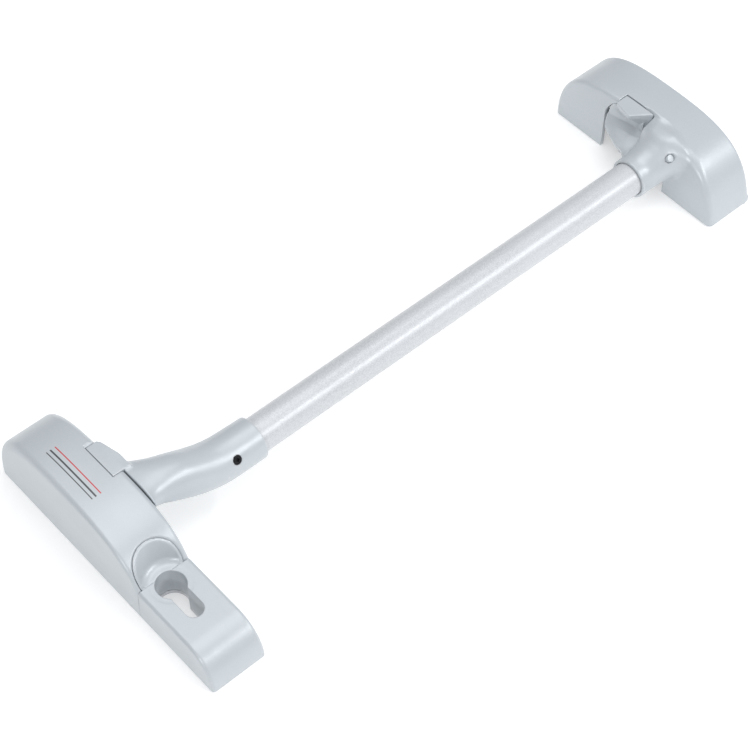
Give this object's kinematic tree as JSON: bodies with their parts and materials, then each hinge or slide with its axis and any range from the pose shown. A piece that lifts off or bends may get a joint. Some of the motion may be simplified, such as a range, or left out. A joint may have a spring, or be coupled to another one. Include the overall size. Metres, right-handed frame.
{
  "type": "door security bar",
  "caption": "Lockable bar across a closed door: a tube with a clawed arm that drops into a keyed lock housing and a bridge-shaped head that swings on a hidden pin.",
  "frame": {"origin": "middle of the whole bar's base, on the door's face", "axes": "+Z away from the door, +X along the tube from the lock housing to the swing head, +Y from the cylinder hole towards the arm's claw"},
  "size_m": [0.474, 0.1931, 0.0474],
  "materials": {
    "casting_paint": "satin pale blue-grey paint on a casting",
    "tube_metal": "silver metallic lacquer",
    "zinc_steel": "zinc-plated steel",
    "black_steel": "black oxide",
    "rubber": "matte"
  },
  "bodies": {
    "root": {"lock_cover": "casting_paint", "cylinder_block": "casting_paint", "head_tongue": "casting_paint", "tail_buffer": "rubber", "lock_base_plate": "zinc_steel", "cover_screw_1": "zinc_steel", "cover_screw_2": "zinc_steel", "block_screw_1": "zinc_steel", "block_screw_2": "zinc_steel", "lock_fixing_screw_1": "zinc_steel", "lock_fixing_screw_2": "zinc_steel", "lock_fixing_screw_3": "zinc_steel", "lock_fixing_screw_4": "zinc_steel", "slide_channel": "zinc_steel", "slide_strap": "zinc_steel", "strap_screw_1": "zinc_steel", "strap_screw_2": "zinc_steel", "detent_spring": "zinc_steel", "head_base_plate": "zinc_steel", "head_hinge_pin": "zinc_steel", "head_fixing_screw_1": "zinc_steel", "head_fixing_screw_2": "zinc_steel", "head_fixing_screw_3": "zinc_steel", "head_fixing_screw_4": "zinc_steel", "tongue_screw_1": "zinc_steel", "tongue_screw_2": "zinc_steel"},
    "swing_bar": {"lock_arm": "casting_paint", "arm_grub_screw": "black_steel", "bar_tube": "tube_metal", "inner_core": "zinc_steel", "tube_plug_1": "rubber", "tube_plug_2": "rubber", "swing_head": "casting_paint", "head_cross_pin": "casting_paint"},
    "lock_slide": {"locking_slide": "zinc_steel"}
  },
  "joints": [
    {"name": "bar_swing", "type": "hinge", "parent": "root", "child": "swing_bar", "pos_m": [0.2335, 0.024, 0.0035], "axis": [0, 1, 0], "range_deg": [0, 90]},
    {"name": "lock_travel", "type": "slide", "parent": "root", "child": "lock_slide", "axis": [0, 1, 0], "range_m": [0, 0.014], "deforming": ["detent_spring"]}
  ]
}
